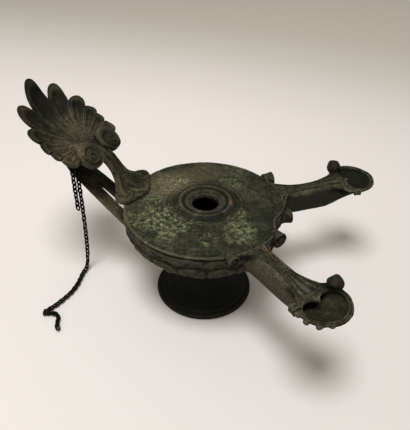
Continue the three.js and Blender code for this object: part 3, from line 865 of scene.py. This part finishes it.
# Bars along paths in the XZ plane, as rows of (x, z, half-width, thickness).
STRUT_ROWS = [
    (-83, 101.6, 4.5, 3),
    (-75, 99.6, 5.6, 4),
    (-69, 96, 6.2, 4),
    (-64.9, 91.4, 6.2, 4),
    (-61.9, 86.8, 6.8, 4),
    (-59.4, 82.4, 8.8, 4.2),
    (-57.4, 79, 12.6, 4.2),
    (-54, 76.6, 16.8, 4),
    (-50, 75.2, 18.6, 3.8),
    (-46, 75, 15.4, 3.2),
    (-42.6, 75.1, 9, 2.6),
    (-40.6, 75, 4, 1.8),
]
STRAP_ROWS = [
    (-40, 42, 14, 3.4),
    (-55, 53, 13.2, 3.4),
    (-64, 59.8, 12.2, 3.2),
    (-75, 69.2, 11.2, 3.2),
    (-86, 78.4, 10, 3.2),
    (-92.5, 84.6, 9.4, 3.2),
    (-96.4, 91.4, 9, 3.2),
    (-97, 99, 8.6, 3.2),
    (-93.6, 105.6, 8, 3),
]


def bar_object(name, rows, ribs, sides=56):
    fine = curve_through(rows, 8)
    along = np.gradient(fine[:, :2], axis=0)
    along /= np.linalg.norm(along, axis=1)[:, None]
    angle = np.linspace(0, 2 * math.pi, sides, endpoint=False) - math.pi / 2
    across = np.sign(np.cos(angle)) * np.abs(np.cos(angle)) ** 0.7
    upward = np.sign(np.sin(angle)) * np.abs(np.sin(angle)) ** 0.7
    rings = []
    for (x, z, half, thick), (dx, dz) in zip(fine, along):
        y = across * half
        up = upward * thick / 2
        for place, height in ribs:
            up = up + height * bump(across - place, 0.11) * (upward > 0.3)
        rings.append(np.stack([x - dz * up, y, z + dx * up], axis=1))
    first, last = fine[0], fine[-1]
    return solid_object(name, *ring_skin(rings, (first[0], 0, first[1]), (last[0], 0, last[1])))


def slit_object():
    """A pointed wedge that forks the strap."""
    outline = [(-79, 0), (-78, -0.8), (-75, -1.8), (-35, -5.2), (-35, 5.2), (-75, 1.8), (-78, 0.8)]
    rings = [[(x, y, z) for x, y in outline] for z in (40, 75)]
    return solid_object("slit", *ring_skin(rings, (-50, 0, 40), (-50, 0, 75)))


def saddle_lobe(x, y, length, width, thick):
    """A domed leaf tip with a hollow inside its raised rim."""
    sides = 40
    angle = np.linspace(0, 2 * math.pi, sides, endpoint=False)
    rings = []
    for rho, height in ((0.4, -1), (0.8, -0.9), (0.97, -0.5), (1.0, 0.0), (0.96, 0.55), (0.87, 0.86), (0.76, 0.9)):
        rings.append((rho, height))
    for rho in (0.66, 0.55, 0.42, 0.28, 0.14):
        rings.append((rho, 0.62 + 0.22 * rho))
    points = [
        np.stack([length * r * np.cos(angle), width * r * np.sin(angle), np.full(sides, thick * h)], axis=1)
        for r, h in rings
    ]
    verts, faces = ring_skin(points, (0, 0, -thick), (0, 0, 0.6 * thick))
    return solid_object("lobe", verts + (x, y, 75.4), faces)


def ring_object(centre, radius, wire, normal):
    """A closed wire ring."""
    major = np.linspace(0, 2 * math.pi, 28, endpoint=False)
    minor = np.linspace(0, 2 * math.pi, 10, endpoint=False)
    turned = Vector(normal).to_track_quat("Z", "Y").to_matrix()
    verts, faces = [], []
    for i, a in enumerate(major):
        for j, b in enumerate(minor):
            out = radius + wire * math.cos(b)
            verts.append(turned @ Vector((out * math.cos(a), out * math.sin(a), wire * math.sin(b))))
            i2, j2 = (i + 1) % len(major), (j + 1) % len(minor)
            faces.append((i * 10 + j, i2 * 10 + j, i2 * 10 + j2, i * 10 + j2))
    return solid_object("ring", np.array([tuple(v) for v in verts]) + centre, faces)


def seat_object():
    """The reservoir's plain outside, to fit the handle's feet against it."""
    heights = np.linspace(BOWL_FLOOR, RIM_HEIGHT - 2.5, 30)
    bowl = np.stack([bowl_radius(heights) + 0.2, heights], axis=1)
    top = [(52.9, RIM_HEIGHT - 0.3), (52, RIM_HEIGHT + 0.15), (38, 74.3), (RING_OUTER, DISC_CROWN + 0.1)]
    return lathe_object("seat", np.vstack([[(0, 30), (STEM_RADIUS, 30)], bowl, top, [(0, 75.1)]]), 120)


HANDLE_BROWN = [
    (-62, -6, 58, 22, 0.9),
    (-84, -16, 106, 18, 1.0),
    (-92, 10, 110, 20, 0.7),
    (-56, -10, 80, 10, 0.5),
]
# Darker patches on the handle, with painted shade on the strap under the palmette, as (x, y, z, radius, strength).
HANDLE_DARK_AND_SHADE = [
    (-118, -2, 136, 26, 0.85),
    (-112, -24, 128, 15, 0.7),
    (-112, 22, 128, 13, 0.45),
    # Painted shade on the strap under the palmette.
    (-92, 0, 84, 18, 0.85),
    (-74, 6, 70, 14, 0.7),
    (-50, 8, 76, 14, 0.5),
    (-64, 4, 90, 14, 0.55),
    (-74, -12, 104, 10, 0.35),
    (-74, 12, 104, 10, 0.45),
]
HANDLE_COPPER = [
    (-82, -22, 105, 7, 0.5),
    (-92, -24, 110, 6, 0.3),
    (-100, 12, 118, 6, 0.25),
    (-56, -42, 60, 6, 0.3),
]


def rim_dark(points, wander):
    """The palmette darkens towards its lobes' tips."""
    away = np.linalg.norm(points - (-84, 0, 101), axis=1)
    return 0.55 * smoothstep(away + 0.6 * wander, 22, 36) * (points[:, 2] > 96)


def make_handle(sizes, corrosion, material):
    handle = bar_object("palmette_handle", STRUT_ROWS, ((-0.72, 0.5), (0, 0.6), (0.72, 0.5)))
    strap = bar_object("strap", STRAP_ROWS, ((-0.9, 0.2), (0.9, 0.2)))
    combine(strap, slit_object(), "DIFFERENCE")
    combine(handle, strap, "UNION")
    combine(handle, make_palmette(sizes), "UNION")
    for side in (1, -1):
        combine(handle, volute_object(side, sizes.volute_turns), "UNION")
        combine(handle, saddle_lobe(-51.5, side * 13.2, 6.2, 6.2, 2.8), "UNION")
    combine(handle, saddle_lobe(-49.5, 0, 9.7, 6.8, 2.8), "UNION")
    combine(handle, ring_object((-86.3, -12.4, 101.3), 2.3, 0.9, (0, 1, 0)), "UNION")
    combine(handle, seat_object(), "DIFFERENCE")
    corrode(handle, 0.8 * corrosion, 57)
    mark_relief(handle, 0.2 * MM, 14)
    mark_patches(handle, "green", [(-60, 6, 82, 9, 0.25), (-100, 8, 112, 14, 0.15)])
    mark_patches(handle, "brown", HANDLE_BROWN)
    mark_patches(handle, "dark", HANDLE_DARK_AND_SHADE, rim_dark)
    mark_patches(handle, "copper", HANDLE_COPPER)
    finish_piece(handle, material)
    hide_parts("handle")
    return handle


# The chains


def link_points(half_length, half_width, wire):
    """An oval wire ring in the XY plane: its points and faces."""
    rounds, sides = 20, 8
    major = np.linspace(0, 2 * math.pi, rounds, endpoint=False)
    minor = np.linspace(0, 2 * math.pi, sides, endpoint=False)
    along, around = np.meshgrid(major, minor, indexing="ij")
    broad = np.sign(np.sin(along)) * np.abs(np.sin(along)) ** 0.75
    x = half_length * np.cos(along) + wire * np.cos(around) * np.cos(along)
    y = half_width * broad + wire * np.cos(around) * broad
    verts = np.stack([x, y, wire * np.sin(around)], axis=-1).reshape(-1, 3)
    here = np.arange(rounds * sides).reshape(rounds, sides)
    after = np.roll(here, -1, axis=0)
    quads = np.stack([here, after, np.roll(after, -1, axis=1), np.roll(here, -1, axis=1)], axis=-1)
    return verts, quads.reshape(-1, 4)


def chain_object(name, node, route, sizes, material):
    """Cable links along the route, each turned a quarter from the last, and slack where they lie."""
    line = curve_through(route, 40)
    steps = np.linalg.norm(np.diff(line, axis=0), axis=1)
    run = np.concatenate([[0], np.cumsum(steps)])
    pitch = sizes.pitch / MM
    wire = sizes.wire / (2 * MM)
    shape, quads = link_points(pitch / 2 + wire - 0.05, sizes.width / (2 * MM) - wire, wire)
    slack = 1 - 0.3 * smoothstep(line[1:, 2], 10, 3)
    links = np.concatenate([[0], np.cumsum(steps / (pitch * slack))])
    places = np.interp(np.arange(int(links[-1])) + 0.5, links, run)
    centres, ahead, behind = (
        np.stack([np.interp(np.clip(places + by, 0, run[-1]), run, line[:, k]) for k in range(3)], axis=1)
        for by in (0, 0.5 * pitch, -0.5 * pitch)
    )
    centres[:, 2] = np.maximum(centres[:, 2], sizes.width / (2 * MM))
    rng = np.random.default_rng(5)
    verts, faces = [], []
    for index, (centre, tangent) in enumerate(zip(centres, ahead - behind)):
        tangent = tangent / np.linalg.norm(tangent)
        flat = np.cross(tangent, (0.45, -0.67, 0.59))
        flat /= np.linalg.norm(flat)
        turned = math.radians(90 * (index % 2) - 45 + rng.uniform(-8, 8))
        wide = math.cos(turned) * flat + math.sin(turned) * np.cross(tangent, flat)
        verts.append(centre + shape @ np.array([tangent, wide, np.cross(tangent, wide)]))
        faces += (quads + index * len(shape)).tolist()
    chain = solid_object(name, np.vstack(verts), faces)
    finish_piece(chain, material)
    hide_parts(node)
    return chain


# Materials


class Tree:
    """Short calls for a material's nodes."""

    def __init__(self, name):
        self.material = bpy.data.materials.new(name)
        self.material.use_nodes = True
        self.nodes = self.material.node_tree.nodes
        self.links = self.material.node_tree.links
        self.nodes.clear()

    def add(self, kind, settings=None, **sockets):
        node = self.nodes.new(kind)
        for key, value in (settings or {}).items():
            setattr(node, key, value)
        for key, value in sockets.items():
            self.set(node.inputs[key.replace("_", " ")], value)
        return node

    def set(self, socket, value):
        if isinstance(value, bpy.types.NodeSocket):
            self.links.new(value, socket)
        else:
            socket.default_value = value

    def noise(self, scale, detail=4.0, rough=0.6, twist=0.0):
        where = self.add("ShaderNodeTexCoord").outputs["Object"]
        node = self.add("ShaderNodeTexNoise", Vector=where, Scale=scale, Detail=detail, Roughness=rough)
        node.inputs["Distortion"].default_value = twist
        return node.outputs["Fac"]

    def ramp(self, value, low, high):
        node = self.add("ShaderNodeMapRange", {"interpolation_type": "SMOOTHSTEP"}, Value=value)
        node.inputs["From Min"].default_value = low
        node.inputs["From Max"].default_value = high
        return node.outputs["Result"]

    def math(self, operation, first, second):
        node = self.nodes.new("ShaderNodeMath")
        node.operation = operation
        self.set(node.inputs[0], first)
        self.set(node.inputs[1], second)
        return node.outputs[0]

    def blend(self, share, first, second):
        node = self.nodes.new("ShaderNodeMix")
        node.data_type = "RGBA"
        self.set(node.inputs["Factor"], share)
        self.set(node.inputs["A"], first)
        self.set(node.inputs["B"], second)
        return node.outputs["Result"]

    def attribute(self, name):
        return self.add("ShaderNodeAttribute", {"attribute_name": name}).outputs["Fac"]


def rgba(colour, gain=1.0):
    return (*[channel * gain for channel in colour], 1.0)


def patina_material(name, colours, brownness, verdigris, gain=1.0):
    """Matt corroded bronze: grey-green skin, brown earth, dark hollows, rubbed edges and pale grains, with painted
    shade blended to the near-black colour where the dark layer says.
    """
    tree = Tree(name)
    cloud = tree.ramp(tree.noise(85, 5, 0.62, 0.4), 0.4, 0.64)
    mottle = tree.ramp(tree.noise(260, 6, 0.75, 0.3), 0.42, 0.62)
    crust = tree.ramp(tree.noise(520, 6, 0.8, 0.3), 0.43, 0.58)
    fine = tree.noise(1900, 3, 0.6)
    brown_patch = tree.math("MAXIMUM", tree.attribute("brown"), tree.math("MULTIPLY", cloud, brownness))
    pale_skin = tree.blend(brown_patch, rgba(colours.metal, 1.25 * gain), rgba(colours.brown, 1.25 * gain))
    dark_skin = tree.blend(brown_patch, rgba(colours.metal, 0.3 * gain), rgba(colours.brown, 0.38 * gain))
    skin = tree.blend(crust, dark_skin, pale_skin)
    blotched = tree.blend(tree.math("MULTIPLY", mottle, 0.5), skin, dark_skin)
    green_patch = tree.math("MAXIMUM", tree.attribute("green"), tree.math("MULTIPLY", cloud, verdigris))
    broken = tree.ramp(tree.noise(360, 7, 0.85, 0.15), 0.46, 0.56)
    powder = tree.math("MULTIPLY", green_patch, broken)
    powdered = tree.blend(powder, blotched, rgba(colours.green, gain))
    coppery = tree.blend(tree.attribute("copper"), powdered, rgba(colours.copper, gain))
    # The dark layer holds painted shade and darker patches; both are blended to the near-black colour.
    dark = tree.math("MULTIPLY", tree.attribute("dark"), 0.95)
    darkened = tree.blend(dark, coppery, rgba(colours.near_black_and_shade, gain))
    relief = tree.attribute("relief")
    rubbed = tree.math("MULTIPLY", tree.ramp(relief, 0.62, 1.0), tree.ramp(fine, 0.35, 0.6))
    lit = tree.math("SUBTRACT", 0.42, tree.math("MULTIPLY", tree.attribute("dark"), 0.4))
    edged = tree.blend(tree.math("MULTIPLY", rubbed, lit), darkened, rgba(colours.edge, gain))
    sunk = tree.ramp(relief, 0.42, 0.1)
    hollowed = tree.blend(tree.math("MULTIPLY", sunk, 0.6), edged, rgba(colours.near_black_and_shade, gain))
    earthy = tree.math("MULTIPLY", brown_patch, tree.ramp(tree.attribute("green"), 0.0, 0.4))
    seeds = tree.math("ADD", tree.math("MULTIPLY", tree.math("MAXIMUM", powder, earthy), 0.8), 0.04)
    grains = tree.math("MULTIPLY", tree.ramp(tree.noise(850, 4, 0.7), 0.56, 0.64), seeds)
    speckled = tree.math("MULTIPLY", grains, tree.math("SUBTRACT", 1.0, dark))
    colour = tree.blend(speckled, hollowed, rgba(colours.speck, gain))
    rough = tree.math("ADD", tree.math("MULTIPLY", crust, 0.2), 0.55)
    rougher = tree.math("MAXIMUM", rough, tree.math("MULTIPLY", powder, 0.95))
    height = tree.math("ADD", tree.math("MULTIPLY", fine, 0.5), tree.noise(700, 5, 0.75))
    raised = tree.math("ADD", height, tree.math("MULTIPLY", powder, 0.35))
    surface = tree.add("ShaderNodeBump", Height=raised, Strength=0.9, Distance=0.0007)
    shader = tree.add("ShaderNodeBsdfPrincipled", Base_Color=colour, Roughness=rougher, Normal=surface.outputs[0])
    shader.inputs["Specular IOR Level"].default_value = 0.07
    output = tree.add("ShaderNodeOutputMaterial")
    tree.links.new(shader.outputs[0], output.inputs["Surface"])
    return tree.material


def floor_material(colours):
    tree = Tree("pale_floor")
    # Painted light: the floor's colour carries the key light's pool, darker to the right, darker near the camera and
    # darkest far behind.
    where = tree.add("ShaderNodeTexCoord").outputs["Object"]
    place = tree.add("ShaderNodeSeparateXYZ", Vector=where)
    right = tree.ramp(place.outputs["X"], -0.2, 0.25)
    near = tree.blend(right, rgba(colours.floor, 0.94), rgba(colours.floor, 0.8))
    level = tree.blend(right, rgba(colours.floor), rgba(colours.floor, 0.9))
    middle = tree.blend(tree.ramp(place.outputs["Y"], -0.15, 0.22), near, level)
    colour = tree.blend(tree.ramp(place.outputs["Y"], 0.25, 0.6), middle, rgba(colours.far_floor_shade))
    shader = tree.add("ShaderNodeBsdfPrincipled", Base_Color=colour)
    shader.inputs["Roughness"].default_value = 0.75
    shader.inputs["Specular IOR Level"].default_value = 0.2
    output = tree.add("ShaderNodeOutputMaterial")
    tree.links.new(shader.outputs[0], output.inputs["Surface"])
    return tree.material


# The stage

CAMERA_PLACE = (0.0864446, -0.2651845, 0.2764796)
CAMERA_AZIMUTH = math.radians(18.07)
CAMERA_PITCH = math.radians(37.19)
CAMERA_ROLL = math.radians(1.17)
CAMERA_LENS = 44.25


def add_camera():
    data = bpy.data.cameras.new("camera")
    data.lens = CAMERA_LENS
    data.sensor_width = 36
    data.clip_start = 0.01
    camera = bpy.data.objects.new("camera", data)
    forward = Vector(
        (
            -math.sin(CAMERA_AZIMUTH) * math.cos(CAMERA_PITCH),
            math.cos(CAMERA_AZIMUTH) * math.cos(CAMERA_PITCH),
            -math.sin(CAMERA_PITCH),
        )
    )
    right = Vector((math.cos(CAMERA_AZIMUTH), math.sin(CAMERA_AZIMUTH), 0))
    up = right.cross(forward)
    level_right = math.cos(CAMERA_ROLL) * right + math.sin(CAMERA_ROLL) * up
    level_up = -math.sin(CAMERA_ROLL) * right + math.cos(CAMERA_ROLL) * up
    turned = Matrix((level_right, level_up, -forward)).transposed().to_4x4()
    camera.matrix_world = Matrix.Translation(CAMERA_PLACE) @ turned
    bpy.context.scene.collection.objects.link(camera)
    bpy.context.scene.camera = camera


def add_light(name, place, aim, size, power, colour):
    data = bpy.data.lights.new(name, "AREA")
    data.shape = "DISK"
    data.size = size
    data.energy = power
    data.color = colour
    light = bpy.data.objects.new(name, data)
    light.location = place
    light.rotation_euler = (Vector(aim) - Vector(place)).to_track_quat("-Z", "Y").to_euler()
    bpy.context.scene.collection.objects.link(light)


def add_floor(colours):
    verts = [(-3, -3, 0), (3, -3, 0), (3, 3, 0), (-3, 3, 0)]
    mesh = bpy.data.meshes.new("floor")
    mesh.from_pydata(verts, [], [(0, 1, 2, 3)])
    floor = bpy.data.objects.new("floor", mesh)
    floor.location = (0, 0, -0.0002)
    mesh.materials.append(floor_material(colours))
    bpy.context.scene.collection.objects.link(floor)


def soft_sky():
    world = bpy.data.worlds.new("studio")
    world.use_nodes = True
    background = world.node_tree.nodes["Background"]
    background.inputs["Color"].default_value = (1.0, 0.965, 0.83, 1)
    background.inputs["Strength"].default_value = 0.42
    bpy.context.scene.world = world


class LAMP_OT_casting(bpy.types.Operator):
    """Makes the lamp's body: reservoir, foot, nozzles and scrolls"""

    bl_idname = "lamp.casting"
    bl_label = "Lamp body"

    def execute(self, context):
        scene = context.scene
        material = patina_material("body_patina", scene.patina_colours, 0.2, 0.16)
        make_casting(scene.lamp_sizes, material)
        return {"FINISHED"}


class LAMP_OT_handle(bpy.types.Operator):
    """Makes the handle: saddle, strut, forked strap, palmette and volutes"""

    bl_idname = "lamp.handle"
    bl_label = "Palmette handle"

    def execute(self, context):
        scene = context.scene
        material = patina_material("handle_patina", scene.patina_colours, 0.6, 0.05, 0.85)
        make_handle(scene.handle_sizes, scene.lamp_sizes.corrosion, material)
        return {"FINISHED"}


class LAMP_OT_chains(bpy.types.Operator):
    """Makes the long chain that reaches the table and the short broken one"""

    bl_idname = "lamp.chains"
    bl_label = "Chains"

    def execute(self, context):
        scene = context.scene
        material = patina_material("chain_patina", scene.patina_colours, 0.7, 0.0, 0.35)
        chain_object("link_chain_long", "chain_long", LONG_ROUTE, scene.chain_sizes, material)
        chain_object("link_chain_short", "chain_short", SHORT_ROUTE, scene.chain_sizes, material)
        return {"FINISHED"}


class LAMP_OT_stage(bpy.types.Operator):
    """Makes the pale floor, the soft lights and the camera"""

    bl_idname = "lamp.stage"
    bl_label = "Stage"

    def execute(self, context):
        add_camera()
        add_floor(context.scene.patina_colours)
        add_light("key", (0.0, -0.39, 1.25), (0, 0, 0.05), 0.5, 14.4, (1.0, 0.99, 0.975))
        soft_sky()
        context.scene.view_settings.view_transform = "Standard"
        return {"FINISHED"}


class LAMP_PT_panel(bpy.types.Panel):
    bl_label = "Bronze lamp"
    bl_idname = "LAMP_PT_panel"
    bl_space_type = "VIEW_3D"
    bl_region_type = "UI"
    bl_category = "Lamp"

    def draw(self, context):
        scene = context.scene
        for group in (scene.lamp_sizes, scene.handle_sizes, scene.chain_sizes, scene.patina_colours):
            box = self.layout.box()
            for name in group.bl_rna.properties.keys():
                if name not in ("rna_type", "name"):
                    box.prop(group, name)
        for operator in (LAMP_OT_casting, LAMP_OT_handle, LAMP_OT_chains, LAMP_OT_stage):
            self.layout.operator(operator.bl_idname)


GROUPS = {
    "lamp_sizes": LampSizes,
    "handle_sizes": HandleSizes,
    "chain_sizes": ChainSizes,
    "patina_colours": PatinaColours,
}
CLASSES = (*GROUPS.values(), LAMP_OT_casting, LAMP_OT_handle, LAMP_OT_chains, LAMP_OT_stage, LAMP_PT_panel)


def register():
    for made in CLASSES:
        bpy.utils.register_class(made)
    for name, group in GROUPS.items():
        setattr(bpy.types.Scene, name, bpy.props.PointerProperty(type=group))


def unregister():
    for name in GROUPS:
        delattr(bpy.types.Scene, name)
    for made in reversed(CLASSES):
        bpy.utils.unregister_class(made)


def main():
    register()
    bpy.ops.lamp.stage()
    bpy.ops.lamp.chains()
    bpy.ops.lamp.casting()
    bpy.ops.lamp.handle()


if __name__ == "__main__":
    main()
